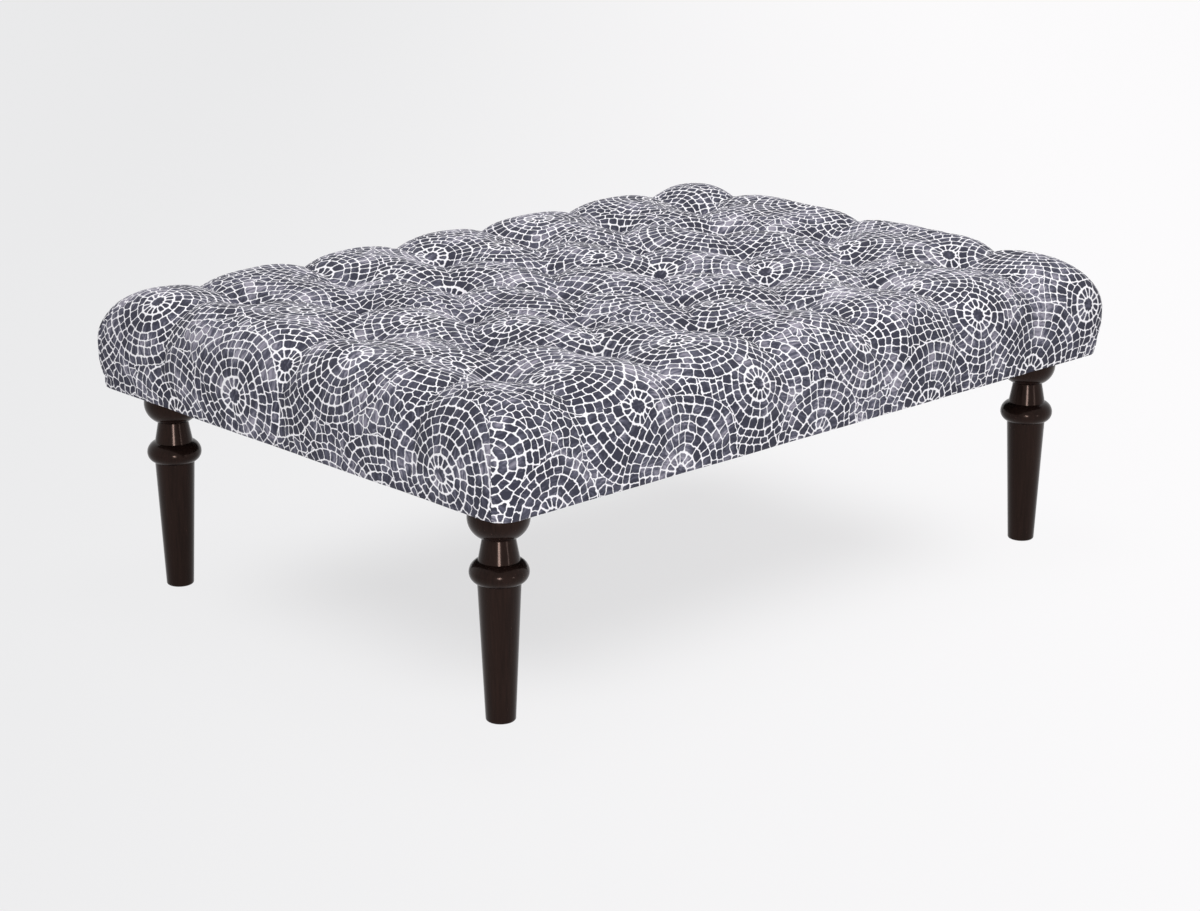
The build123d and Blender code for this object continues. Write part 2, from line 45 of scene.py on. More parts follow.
# Body of the cushion: its lower edge, the height of the roll's start and of the puffs, and the roll
HALF_LENGTH = 580.0
HALF_DEPTH = 425.0
HEM_HEIGHT = 290.0
ROLL_START = 356.0
PUFF_HEIGHT = 431.0
BULGE = 5.5
CORNER = 28.0
TOP_CORNER = 62.0
FABRIC = 1.5
FLANGE = 36.0

# Tufts and the fabric's run between them
TUFT_PITCH_X = 175.0
TUFT_PITCH_Y = 132.5
TUFT_DEPTH = 42.0
TUFT_WIDTH = 33.0
VALLEY_DEPTH = 13.0
VALLEY_WIDTH = 33.0
PLEAT_DEPTH = 16.0
PLEAT_WIDTH = 26.0
END_SWELL = 6.0
END_SWELL_RUN = 30.0
END_SWELL_REACH = 62.0
END_PLEAT_SHARE = 0.72
END_CORNER_SHARE = 0.6
END_CORNER_START = 40.0
END_CORNER_RUN = 110.0
PLEAT_START = 110.0
PLEAT_REACH = 190.0

# How steeply tufts, valleys and pleats fade, how they join, and how much they vary
TUFT_POWER = 1.15
VALLEY_POWER = 1.6
PLEAT_POWER = 1.5
PLEAT_END_POWER = 1.3
PULL_BLEND = 2.5
TUFT_OWN = 18.0
VALLEY_VARIES = 0.16
PLEAT_VARIES = 0.14
PLEAT_LEAN = 0.05
PLEAT_SPREAD = 0.06

# Loft of the padding, as the height and cell of soft noise, how the noise leans down the sides, how
# far round a tuft it is pressed out, and the height over the hem in which it comes in
LOFT_BROAD = (1.2, 90.0)
LOFT_FINE = (0.5, 34.0)
LOFT_LEAN = (0.6, -0.8)
LOFT_CLEAR = 45.0
LOFT_HEM = 40.0

# The fold at each corner: where it lies round the corner, how far its lap stands out and the cloth
# beside it sinks, its width, its run down the roll, and the height over the hem in which it fades
FOLD_TURN = math.radians(72.0)
FOLD_LAP = 0.9
FOLD_SINK = 2.4
FOLD_WIDTH = 9.0
FOLD_START = 34.0
FOLD_RUN = 60.0
FOLD_HEM = 24.0
FOLD_HEM_SHARE = 0.25

# The run in which the print of a long side comes to turn with the corner
WRAP_RUN = 125.0

# Ways out from the cushion's sides
FRONT, RIGHT, REAR, LEFT = (0.0, -1.0), (1.0, 0.0), (0.0, 1.0), (-1.0, 0.0)

# Lines of the cushion's mesh: steps between tufts and beyond them, and rows down the roll and side
STEPS_PER_HALF_PITCH_X = 14
STEPS_PER_PITCH_Y = 22
MARGIN_STEPS_X = 12
MARGIN_STEPS_Y = 15
ROLL_ROWS = 20
SIDE_ROWS = 10

# Past this distance a corner's fold has no say
FAR = 80.0

# Cloth simulation of the cover: its settings, frames, the cap on a move, the smoothing that tells
# its folds from its broad swell, and how far round a tuft the cloth is held
SETTLE = {
    "quality": 5,
    "mass": 0.25,
    "tension_stiffness": 20.0,
    "compression_stiffness": 20.0,
    "shear_stiffness": 8.0,
    "bending_stiffness": 0.2,
    "vertex_group_mass": "held",
    "use_pressure": True,
    "uniform_pressure_force": 3.0,
    "shrink_min": -0.012,
}
SETTLE_FRAMES = 12
SETTLE_CAP = 5.0
SETTLE_BLUR = 60
PINNED_TUFT = 4.0

# Layers under the cover
LAYER_GAP = 0.3
WADDING = 6.0
OVER_FRAME_FADE = 30.0
FRAME_BOTTOM = HEM_HEIGHT + FABRIC
ROLL = PUFF_HEIGHT - ROLL_START
TOP_HALF = np.array([HALF_LENGTH + BULGE - ROLL, HALF_DEPTH + BULGE - ROLL])


def at_height(flat, height):
    """Flat points with one height, or a height each, added."""
    return np.column_stack([flat, np.broadcast_to(height, len(flat))])


def run_along(ring):
    """How far round a closed ring of points each one is, and last the whole way round."""
    steps = np.linalg.norm(np.roll(ring, -1, axis=0) - ring, axis=1)
    return np.concatenate([[0.0], np.cumsum(steps)])


def eased(share):
    """A share from 0 to 1 with soft ends."""
    return share * share * (3 - 2 * share)


def tuft_grid():
    """The tufts, in rows of six and five."""
    points = []
    for row in range(-2, 3):
        columns = (-2.5, -1.5, -0.5, 0.5, 1.5, 2.5) if row % 2 == 0 else (-2, -1, 0, 1, 2)
        points += [(column * TUFT_PITCH_X, row * TUFT_PITCH_Y) for column in columns]
    return np.array(points)


TUFTS = tuft_grid()
OUTER_X = 2.5 * TUFT_PITCH_X
OUTER_Y = 2.0 * TUFT_PITCH_Y


def valley_segments():
    """Pairs of neighbouring tufts, which the fabric's valleys join."""
    pairs = [(a, b) for a in TUFTS for b in TUFTS]
    step = (TUFT_PITCH_X / 2, TUFT_PITCH_Y)
    return [(a, b) for a, b in pairs if np.allclose((abs(b[0] - a[0]), b[1] - a[1]), step)]


def distance_to_segment(points, a, b):
    """How far points are from a segment."""
    run = b - a
    along = np.clip(((points - a) @ run) / (run @ run), 0, 1)
    return np.hypot(*(points - a - along[:, None] * run).T)


def smooth_noise(points, cell, seed):
    """Soft noise from -1 to 1 over the plane, with one random value a cell."""
    table = np.random.default_rng(seed).uniform(-1, 1, (256, 256))
    q = points / cell + 128.0
    base = np.floor(q).astype(int)
    f = eased(q - base)
    i, j = base[:, 0] % 256, base[:, 1] % 256
    i1, j1 = (i + 1) % 256, (j + 1) % 256
    low = table[i, j] * (1 - f[:, 0]) + table[i1, j] * f[:, 0]
    high = table[i, j1] * (1 - f[:, 0]) + table[i1, j1] * f[:, 0]
    return low * (1 - f[:, 1]) + high * f[:, 1]


def tuft_distance(cloth):
    """How far points of the laid-out cloth are from the nearest tuft."""
    return np.min([np.hypot(*(cloth - tuft).T) for tuft in TUFTS], axis=0)


def pull_depth(cloth):
    """How deep the tufts, valleys and pleats pull the fabric in at points of the laid-out cloth."""
    nearest = tuft_distance(cloth)
    tuft_pull = TUFT_DEPTH * np.exp(-((nearest / TUFT_WIDTH) ** TUFT_POWER))
    valley_pull = np.zeros(len(cloth))
    for index, (a, b) in enumerate(valley_segments()):
        off = distance_to_segment(cloth, a, b)
        depth = VALLEY_DEPTH * (1 + VALLEY_VARIES * math.sin(index * 2.4))
        pull = depth * np.exp(-((off / VALLEY_WIDTH) ** VALLEY_POWER))
        valley_pull = np.maximum(valley_pull, pull)
    pleat_pull = np.zeros(len(cloth))
    for index, tuft in enumerate(TUFTS):
        ways = []
        if abs(abs(tuft[1]) - OUTER_Y) < 1:
            ways.append(np.array([0.0, np.sign(tuft[1])]))
        if abs(abs(tuft[0]) - OUTER_X) < 1:
            ways.append(np.array([np.sign(tuft[0]), 0.0]))
        for way in ways:
            beyond = (cloth - tuft) @ way
            lean = PLEAT_LEAN * math.sin(index * 1.7)
            off = np.abs((cloth - tuft) @ np.array([way[1], way[0]]) - lean * beyond)
            fade = np.clip(1 - (beyond - PLEAT_START) / PLEAT_REACH, 0, 1) ** PLEAT_END_POWER
            width = PLEAT_WIDTH + PLEAT_SPREAD * np.clip(beyond, 0, None)
            depth = PLEAT_DEPTH * (1 + PLEAT_VARIES * math.sin(index * 3.1))
            depth *= END_PLEAT_SHARE if way[0] else 1.0
            pull = depth * fade * np.exp(-((off / width) ** PLEAT_POWER)) * (beyond > 0)
            pleat_pull = np.maximum(pleat_pull, pull)
    away = 1 - np.exp(-((nearest / TUFT_OWN) ** 2))
    pulls = [pull**PULL_BLEND for pull in (tuft_pull, valley_pull * away, pleat_pull * away)]
    return sum(pulls) ** (1 / PULL_BLEND)


def grid_lines(outer_tuft, half, tuft_steps, margin_steps):
    """Mesh lines across the top, with one through every tuft."""
    inner = np.linspace(-outer_tuft, outer_tuft, tuft_steps + 1)
    margin = np.linspace(outer_tuft, half, margin_steps + 1)[1:]
    return np.concatenate([-margin[::-1], inner, margin])


class Body:
    """The cushion's outside as one lattice: a grid on top, and rows down the roll and the sides."""

    def __init__(self):
        half_x, half_y = TOP_HALF
        u = grid_lines(OUTER_X, half_x, 10 * STEPS_PER_HALF_PITCH_X, MARGIN_STEPS_X)
        v = grid_lines(OUTER_Y, half_y, 4 * STEPS_PER_PITCH_Y, MARGIN_STEPS_Y)
        self.nu, self.nv = len(u) - 1, len(v) - 1
        plan_u, plan_v = np.meshgrid(u, v, indexing="ij")
        core = TOP_HALF - TOP_CORNER
        p = np.clip((np.abs(plan_u) - core[0]) / TOP_CORNER, 0, 1)
        q = np.clip((np.abs(plan_v) - core[1]) / TOP_CORNER, 0, 1)
        round_x = np.sign(plan_u) * (core[0] + TOP_CORNER * p * np.sqrt(1 - q**2 / 2))
        round_y = np.sign(plan_v) * (core[1] + TOP_CORNER * q * np.sqrt(1 - p**2 / 2))
        x, y = np.where(p > 0, round_x, plan_u), np.where(q > 0, round_y, plan_v)
        self.top = np.stack([x, y], -1)
        ring = [(i, 0) for i in range(self.nu)]
        ring += [(self.nu, j) for j in range(self.nv)]
        ring += [(i, self.nv) for i in range(self.nu, 0, -1)]
        ring += [(0, j) for j in range(self.nv, 0, -1)]
        side = [FRONT] * self.nu + [RIGHT] * self.nv + [REAR] * self.nu + [LEFT] * self.nv
        self.ring = np.array([i * (self.nv + 1) + j for i, j in ring])
        self.rim = np.array([self.top[i, j] for i, j in ring])
        self.core = np.clip(self.rim, -core, core)
        way = self.rim - self.core
        self.way = way / np.linalg.norm(way, axis=1)[:, None]

        # The front's and back's strips wrap the corners as far as the folds
        self.turn = np.arctan2(np.abs(self.way[:, 0]), np.abs(self.way[:, 1]))
        self.lapped = self.turn < FOLD_TURN
        face_wrapped = self.lapped & np.roll(self.lapped, -1)
        long_side = np.stack([np.zeros(len(ring)), np.sign(self.rim[:, 1])], 1)
        self.side = np.where(face_wrapped[:, None], long_side, np.array(side))
        on_end = np.abs(self.side[:, 0]) > 0
        self.folds = np.nonzero(on_end != np.roll(on_end, 1))[0]
        self.top_count = (self.nu + 1) * (self.nv + 1)
        self.rows = self.row_list()

    def row_list(self):
        """Rows below the top, as (angle up the roll, share of the side's height, laid-out run)."""
        rows = []
        for row in range(1, ROLL_ROWS + 1):
            angle = math.pi / 2 * (1 - row / ROLL_ROWS)
            rows.append((angle, 1.0, ROLL * (math.pi / 2 - angle)))
        for row in range(1, SIDE_ROWS + 1):
            share = 1 - row / SIDE_ROWS
            rows.append((0.0, share, ROLL * math.pi / 2 + (1 - share) * (ROLL_START - HEM_HEIGHT)))
        return rows

    def outline(self, spread, corner):
        """The ring's points on the body's plan, grown by spread, with a corner radius."""
        straight = np.array([HALF_LENGTH, HALF_DEPTH]) + spread - corner
        return self.core / (TOP_HALF - TOP_CORNER) * straight + self.way * corner

    def layer(self, inset, side_fill=0.0, base=HEM_HEIGHT):
        """Points of a layer a depth inset under the cover's face, without tufts."""
        bulge = BULGE - side_fill
        points = [at_height(self.top.reshape(-1, 2), PUFF_HEIGHT - inset)]
        for angle, share, _ in self.rows:
            if angle > 0:
                spread = BULGE - ROLL + (ROLL - inset - side_fill) * math.cos(angle)
                height = ROLL_START + (ROLL - inset) * math.sin(angle)
            else:
                spread = bulge * (1 - (1 - share) ** 2) - inset
                height = base + share * (ROLL_START - base)
            corner = CORNER - inset + (TOP_CORNER - CORNER) * (1 - math.cos(angle))
            points.append(at_height(self.outline(spread, corner), height))
        return np.concatenate(points)

    def normals(self):
        """The way that the fabric is pulled out or in at every point."""
        found = [np.tile([0.0, 0.0, 1.0], (self.top_count, 1))]
        for angle, _, _ in self.rows:
            found.append(at_height(self.way * math.cos(angle), math.sin(angle)))
        return np.concatenate(found)

    def cloth(self, side):
        """Every point's place on the laid-out cloth, in the strip that goes down to that side."""
        places = [self.top.reshape(-1, 2)]
        for angle, _, run in self.rows:
            places.append(self.cloth_row(np.asarray(side), angle, run))
        return np.concatenate(places)

    def cloth_row(self, side, angle, run):
        """One row's places on the laid-out cloth. A long side's strip turns with the corner."""
        corner = CORNER + (TOP_CORNER - CORNER) * (1 - math.cos(angle))
        spread = BULGE - ROLL + ROLL * math.cos(angle)
        flat = self.outline(spread, corner)
        straight = np.where(np.abs(side) > 0, self.rim + side * run, flat)
        sign_x = np.sign(self.rim[:, 0])
        round_x = sign_x * (HALF_LENGTH + spread - corner + corner * self.turn)
        wrapped = np.stack([round_x, np.sign(self.rim[:, 1]) * (TOP_HALF[1] + run)], 1)
        share = eased(min(run / WRAP_RUN, 1.0))
        in_corner = (self.turn > 0.001) & (self.turn < math.pi / 2 - 0.001)
        long_side = np.broadcast_to(np.abs(side), self.rim.shape)[:, 1] > 0
        use = (in_corner & long_side)[:, None]
        return np.where(use, straight + (wrapped - straight) * share, straight)

    def fold_distance(self):
        """How far every point is, along its row, from the fold down the nearest corner."""
        away = [np.full(self.top_count, FAR)]
        for angle, _, _ in self.rows:
            corner = CORNER + (TOP_CORNER - CORNER) * (1 - math.cos(angle))
            along = run_along(self.outline(BULGE - ROLL + ROLL * math.cos(angle), corner))
            nearest = np.full(len(self.ring), FAR)
            for k in self.folds:
                gap = np.abs(along[:-1] - along[k])
                nearest = np.minimum(nearest, np.minimum(gap, along[-1] - gap))
            away.append(nearest)
        return np.concatenate(away)

    def faces(self):
        """Quads facing out, and the last ring."""
        found = []
        for i in range(self.nu):
            for j in range(self.nv):
                first = i * (self.nv + 1) + j
                found.append((first, first + self.nv + 1, first + self.nv + 2, first + 1))
        above = self.ring
        count = len(self.ring)
        for row in range(len(self.rows)):
            below = self.top_count + row * count + np.arange(count)
            found += strip(above, below)
            above = below
        return found, above


def strip(above, below):
    """Quads between two rings."""
    return list(zip(above, below, np.roll(below, -1), np.roll(above, -1)))


def placed(name, data):
    """An object in the scene with that mesh, lamp or camera."""
    made = bpy.data.objects.new(name, data)
    bpy.context.scene.collection.objects.link(made)
    return made


def mesh_object(name, points, faces):
    """A smooth-shaded mesh from points in millimetres."""
    mesh = bpy.data.meshes.new(name)
    corners = [tuple(int(i) for i in face) for face in faces]
    mesh.from_pydata((np.asarray(points) * MM).tolist(), [], corners)
    mesh.polygons.foreach_set("use_smooth", [True] * len(mesh.polygons))
    return placed(name, mesh)


body = Body()
BASE_CLOTH = body.cloth(body.side)
BASE_NORMALS = body.normals()


def tuft_shift():
    """How far every point of the cushion moves for its tufts, valleys, pleats and loft."""
    depth = pull_depth(BASE_CLOTH)
    nearest = tuft_distance(BASE_CLOTH)
    base = body.layer(0.0)
    height = base[:, 2]
    around = base[:, :2] + height[:, None] * np.array(LOFT_LEAN)
    (broad, broad_cell), (fine, fine_cell) = LOFT_BROAD, LOFT_FINE
    swell = broad * smooth_noise(around, broad_cell, 3) + fine * smooth_noise(around, fine_cell, 5)
    swell *= 1 - np.exp(-((nearest / LOFT_CLEAR) ** 2))
    across = np.abs(np.abs(BASE_CLOTH[:, 0]) - TOP_HALF[0] - END_SWELL_RUN) / END_SWELL_REACH
    inboard = np.clip((OUTER_Y + END_CORNER_START - np.abs(base[:, 1])) / END_CORNER_RUN, 0, 1)
    inboard = END_CORNER_SHARE + (1 - END_CORNER_SHARE) * inboard
    swell += END_SWELL * np.cos(np.clip(across, 0, 1) * math.pi / 2) ** 2 * inboard
    swell *= np.clip((height - HEM_HEIGHT) / LOFT_HEM, 0, 1)
    runs = [np.full(len(body.ring), row[2]) for row in body.rows]
    run = np.concatenate([np.zeros(body.top_count)] + runs)
    fade = np.clip((run - FOLD_START) / FOLD_RUN, 0, 1)
    fade *= np.clip((height - HEM_HEIGHT) / FOLD_HEM + FOLD_HEM_SHARE, 0, 1)
    lapped = np.concatenate([np.ones(body.top_count, bool)] + [body.lapped] * len(body.rows))
    near_fold = np.exp(-((FOLD_AWAY / FOLD_WIDTH) ** 2)) * fade
    fold = np.where(lapped, FOLD_LAP, -FOLD_SINK) * near_fold
    return (swell - depth + fold)[:, None] * BASE_NORMALS


def even_out(values, edges, rounds):
    """Smooths vectors over the lattice."""
    count = len(values)
    degree = np.bincount(edges[:, 0], minlength=count) + np.bincount(edges[:, 1], minlength=count)
    for _ in range(rounds):
        near = [
            np.bincount(edges[:, 0], values[edges[:, 1], axis], count)
            + np.bincount(edges[:, 1], values[edges[:, 0], axis], count)
            for axis in range(3)
        ]
        values = 0.5 * values + 0.5 * np.stack(near, 1) / degree[:, None]
    return values


def settled_folds(points):
    """How the cover's folds settle in a cloth simulation, with the padding pressing from inside.

    The fabric is held at its tufts and its lower edge. The broad swell is left out, because the
    lattice already has the shape that the cushion ends in."""
    faces, hem = body.faces()
    cloth = mesh_object("settling_cloth", points, faces)
    mesh = cloth.data
    nearest = tuft_distance(BASE_CLOTH)
    held = np.nonzero(nearest < PINNED_TUFT)[0].tolist()
    held += range(len(points) - 2 * len(hem), len(points))
    cloth.vertex_groups.new(name="held").add(held, 1.0, "REPLACE")
    modifier = cloth.modifiers.new("cloth", "CLOTH")
    for key, value in SETTLE.items():
        setattr(modifier.settings, key, value)
    modifier.settings.effector_weights.gravity = 0.0
    modifier.collision_settings.use_collision = False
    modifier.collision_settings.use_self_collision = False
    modifier.point_cache.frame_start = 1
    modifier.point_cache.frame_end = SETTLE_FRAMES
    for number in range(1, SETTLE_FRAMES + 1):
        bpy.context.scene.frame_set(number)
    settled = np.empty(len(points) * 3)
    shown = cloth.evaluated_get(bpy.context.evaluated_depsgraph_get())
    shown.data.vertices.foreach_get("co", settled)
    bpy.data.objects.remove(cloth)
    bpy.data.meshes.remove(mesh)
    bpy.context.scene.frame_set(1)
    move = settled.reshape(-1, 3) / MM - points
    move *= np.minimum(1, SETTLE_CAP / np.maximum(np.linalg.norm(move, axis=1), 0.001))[:, None]
    quads = np.array(faces)
    edges = np.concatenate([quads[:, [k, (k + 1) % 4]] for k in range(4)])
    folds = move - even_out(move, edges, SETTLE_BLUR)
    folds[held] = 0.0
    return folds


FOLD_AWAY = body.fold_distance()
SHIFT = tuft_shift()
SHIFT = SHIFT + settled_folds(body.layer(0.0) + SHIFT)


# Rings of the lower edge, turned in under the rails: how far in, corner radius and height
FLANGE_RINGS = (
    (1.0, CORNER - 1.0, HEM_HEIGHT),
    (14.0, 20.0, HEM_HEIGHT),
    (FLANGE, 12.0, HEM_HEIGHT),
    (FLANGE, 12.0, FRAME_BOTTOM),
    (14.0, 20.0, FRAME_BOTTOM),
)


def cover_piece():
    """The printed cover: outer face, lower edge turned in under the rails, and inner face."""
    outer_faces, hem = body.faces()
    outer = body.layer(0.0) + SHIFT
    inner = body.layer(FABRIC, base=FRAME_BOTTOM) + SHIFT
    count = len(outer)
    ring_count = len(hem)
    points = [outer]
    faces = list(outer_faces)
    above = hem
    start = count
    for inward, corner, height in FLANGE_RINGS:
        points.append(at_height(body.outline(-inward, corner), height))
        below = start + np.arange(ring_count)
        faces += strip(above, below)
        above = below
        start += ring_count
    points.append(inner)
    faces += strip(above, hem + start)
    faces += [tuple(start + i for i in reversed(face)) for face in outer_faces]
    piece = mesh_object("printed_cover", np.concatenate(points), faces)

    # The cloth's own coordinates, by strip, so that the print meets only at the corner folds
    top_faces = body.nu * body.nv
    side_run = ROLL * math.pi / 2 + ROLL_START - HEM_HEIGHT
    by_side = {}
    for side in (FRONT, RIGHT, REAR, LEFT):
        way = np.array(side)
        across = body.cloth(way)
        extra = [body.cloth_row(way, 0.0, side_run + ring[0]) for ring in FLANGE_RINGS]
        by_side[side] = np.concatenate([across] + extra + [across])
    ring_sides = [tuple(s) for s in body.side]
    layer = piece.data.uv_layers.new(name="cloth")
    coords = np.zeros((len(piece.data.loops), 2), np.float32)
    loop_points = np.zeros(len(piece.data.loops), int)
    piece.data.loops.foreach_get("vertex_index", loop_points)
    top_sides = [FRONT] * top_faces
    sides = top_sides + ring_sides * (len(body.rows) + len(FLANGE_RINGS) + 1)
    sides += top_sides + ring_sides * len(body.rows)
    for index, side in enumerate(sides):
        at = slice(index * 4, index * 4 + 4)
        coords[at] = by_side[side][loop_points[at]]
    layer.data.foreach_set("uv", (coords * MM).ravel())

    # The map that textures are baked to, which gives the outer face nearly all of its room
    bake = piece.data.uv_layers.new(name="OFBake")
    bake.data.foreach_set("uv", bake_places(top_faces, ring_sides).ravel())
    return piece


# Bake map, in millimetres of cloth: its side, and for each side's strip its corner, length and
# whether it stands upright
BAKE_SIDE = 1344.0
BAKE_STRIPS = {
    FRONT: (3.0, 1031.0, 1124.0, False),
    RIGHT: (720.0, 3.0, 826.0, True),
    REAR: (1137.0, 3.0, 1190.0, True),
    LEFT: (928.0, 3.0, 826.0, True),
}
BAKE_TOP = 3.0

# The rows of the turned-in edge below a strip, and the hidden inner face: its top's corner and
# scale, and its sides' corner, length and scale
BAKE_FLANGE = (0.5, 7.0, 18.0, 18.6, 19.2, 19.8)
BAKE_HIDDEN = (722.0, 834.0)
BAKE_HIDDEN_SHARE = 0.18
BAKE_HIDDEN_RING = (860.0, 834.0, 262.0, 0.85)


def bake_places(top_faces, ring_sides):
    """Every face corner's place on the bake map. The hidden faces get little of its room."""
    along = run_along(body.outline(BULGE, CORNER))
    total = along[-1]
    count = len(ring_sides)
    left, right = along[:-1].copy(), along[1:].copy()
    extent = {}
    for side in BAKE_STRIPS:
        columns = [k for k in range(count) if ring_sides[k] == side]
        if 0 in columns and count - 1 in columns:
            late = [k for k in columns if k > count // 2]
            left[late] -= total
            right[late] -= total
        extent[side] = min(left[columns]), max(right[columns])
    down = [0.0] + [row[2] for row in body.rows]
    down += [down[-1] + step for step in BAKE_FLANGE]

    def quad(first, last, row):
        high, low = down[row], down[row + 1]
        return (first, high), (first, low), (last, low), (last, high)

    def strip_place(side, u, v):
        x, y, length, upright = BAKE_STRIPS[side]
        first, last = extent[side]
        u = (u - first) / (last - first) * length
        return (x + v, y + u) if upright else (x + u, y + v)

    def hidden_place(u, v):
        x, y, length, share = BAKE_HIDDEN_RING
        return x + u / total * length, y + v * share

    places = []
    top = body.faces()[0][:top_faces]
    flat_top = body.top.reshape(-1, 2)[:, ::-1] + TOP_HALF[::-1]
    for face in top:
        places += [flat_top[i] + BAKE_TOP for i in face]
    for row in range(len(down) - 1):
        for side, start, stop in zip(ring_sides, left, right):
            places += [strip_place(side, u, v) for u, v in quad(start, stop, row)]
    for face in top:
        places += [np.array(BAKE_HIDDEN) + flat_top[i] * BAKE_HIDDEN_SHARE for i in reversed(face)]
    for row in range(len(body.rows)):
        for start, stop in zip(along, along[1:]):
            places += [hidden_place(u, v) for u, v in quad(stop, start, row)]
    return np.array(places, np.float32) / BAKE_SIDE


def closed_layer(name, outside, inside):
    """A closed piece between two nested surfaces that share the lattice and end in rings."""
    faces, hem = body.faces()
    count = len(outside)
    joined = list(faces) + strip(hem, hem + count)
    joined += [tuple(count + i for i in reversed(face)) for face in faces]
    return mesh_object(name, np.concatenate([outside, inside]), joined)


cover = cover_piece()
height_up = body.layer(0.0)[:, 2]
over_frame = np.clip((height_up - ROLL_START) / OVER_FRAME_FADE, 0, 1)[:, None]
WADDING_BACK = FABRIC + LAYER_GAP + WADDING
wadding = closed_layer(
    "wadding_layer",
    body.layer(FABRIC + LAYER_GAP, base=FRAME_BOTTOM) + SHIFT,
    body.layer(WADDING_BACK, BULGE, FRAME_BOTTOM) + SHIFT * over_frame,
)


def foam_piece():
    """The foam under the wadding, closed by its flat base on the deck."""
    faces, _ = body.faces()
    ring_count = len(body.ring)
    kept = body.top_count + ROLL_ROWS * ring_count
    points = (body.layer(WADDING_BACK + LAYER_GAP, BULGE) + SHIFT * over_frame)[:kept]
    faces = [face for face in faces if max(face) < kept]
    last = kept - ring_count + np.arange(ring_count)
    bottom = points.copy()[: body.top_count]
    bottom[:, 2] = ROLL_START
    side_faces = strip(last, kept + body.ring)
    top_faces = [face for face in faces if max(face) < body.top_count]
    faces = faces + side_faces + [tuple(kept + i for i in reversed(face)) for face in top_faces]
    return mesh_object("foam_block", np.concatenate([points, bottom]), faces)


foam = foam_piece()


# Short names of the shader's sockets that take values the same all over
EVEN_SOCKETS = {
    "level": "Specular IOR Level",
    "tint": "Specular Tint",
    "sheen": "Sheen Weight",
    "sheen_roughness": "Sheen Roughness",
    "metallic": "Metallic",
}


class Graph:
    """Short calls for building the nodes of a new material, or of a world."""

    def __init__(self, name, kinds=bpy.data.materials):
        self.owner = kinds.new(name)
        self.owner.use_nodes = True
        self.nodes = self.owner.node_tree.nodes

    def node(self, kind, inputs=(), **settings):
        made = self.nodes.new(kind)
        for key, value in settings.items():
            setattr(made, key, value)
        for key, value in dict(inputs).items():
            self.feed(made.inputs[key], value)
        return made

    def feed(self, socket, value):
        """Links an output to the socket, or sets a value on it."""
        if isinstance(value, bpy.types.NodeSocket):
            self.owner.node_tree.links.new(value, socket)
        else:
            socket.default_value = value

    def math(self, operation, *values):
        return self.node("ShaderNodeMath", enumerate(values), operation=operation).outputs[0]

    mad = partialmethod(math, "MULTIPLY_ADD")
    mul = partialmethod(math, "MULTIPLY")
    add = partialmethod(math, "ADD")
    sub = partialmethod(math, "SUBTRACT")
    div = partialmethod(math, "DIVIDE")
    floor = partialmethod(math, "FLOOR")
    larger = partialmethod(math, "MAXIMUM")
    absolute = partialmethod(math, "ABSOLUTE")

    def length(self, a, b):
        """The length of the hypotenuse."""
        return self.math("SQRT", self.add(self.mul(a, a), self.mul(b, b)))

    def vector(self, operation, *values):
        return self.node("ShaderNodeVectorMath", enumerate(values), operation=operation).outputs[0]

    stretch = partialmethod(vector, "MULTIPLY")
    bend = partialmethod(vector, "MULTIPLY_ADD")

    def combine(self, x, y, z=0.0):
        return self.node("ShaderNodeCombineXYZ", {0: x, 1: y, 2: z}).outputs[0]

    def separate(self, value):
        return self.node("ShaderNodeSeparateXYZ", {0: value}).outputs

    def random(self, value):
        """Random value and three random channels for a vector."""
        made = self.node("ShaderNodeTexWhiteNoise", {"Vector": value}, noise_dimensions="3D")
        return made.outputs["Value"], self.separate(made.outputs["Color"])

    def where(self):
        """The place on the object, in metres."""
        return self.node("ShaderNodeTexCoord").outputs["Object"]

    def noise(self, value, scale, detail=2.0):
        """Outputs 0, a number, and 1, a vector."""
        inputs = {"Vector": value, "Scale": scale, "Detail": detail}
        return self.node("ShaderNodeTexNoise", inputs).outputs

    def smooth(self, value, low, high):
        """A soft step from 0 at low to 1 at high."""
        inputs = {0: value, 1: low, 2: high, 3: 0.0, 4: 1.0}
        return self.node("ShaderNodeMapRange", inputs, interpolation_type="SMOOTHSTEP").outputs[0]

    def mix(self, factor, a, b):
        """Mixes two numbers."""
        return self.node("ShaderNodeMix", {0: factor, 2: a, 3: b}).outputs[0]

    def mix_color(self, factor, a, b):
        return self.node("ShaderNodeMix", {0: factor, 6: a, 7: b}, data_type="RGBA").outputs[2]

    def finish(self, colour, roughness, bump=None, **even):
        """Sets the finish: colour, roughness, a bump as (height, strength, metres), and even values."""
        sockets = self.nodes["Principled BSDF"].inputs
        self.feed(sockets["Base Color"], colour)
        self.feed(sockets["Roughness"], roughness)
        if bump:
            made = self.node("ShaderNodeBump", zip(("Height", "Strength", "Distance"), bump))
            self.feed(sockets["Normal"], made.outputs[0])
        for name, value in even.items():
            sockets[EVEN_SOCKETS[name]].default_value = value
        return self.owner

    def background_rays(self):
        """1 for the rays that are to see the pale background: camera, glossy and transmission."""
        rays = self.node("ShaderNodeLightPath").outputs
        seen = self.larger(rays["Is Camera Ray"], rays["Is Glossy Ray"])
        return self.larger(seen, rays["Is Transmission Ray"])

    def blend(self, factor, first, second, output):
        """Mixes two shaders into the output node of that name."""
        made = self.node("ShaderNodeMixShader", {0: factor, 1: first.outputs[0], 2: second.outputs[0]})
        self.feed(self.nodes[output].inputs[0], made.outputs[0])


def linear(r, g, b):
    """A colour given as it looks on screen, from 0 to 255, in Blender's own values."""
    shown = (r / 255, g / 255, b / 255)
    return (*(c / 12.92 if c <= 0.04045 else ((c + 0.055) / 1.055) ** 2.4 for c in shown), 1.0)


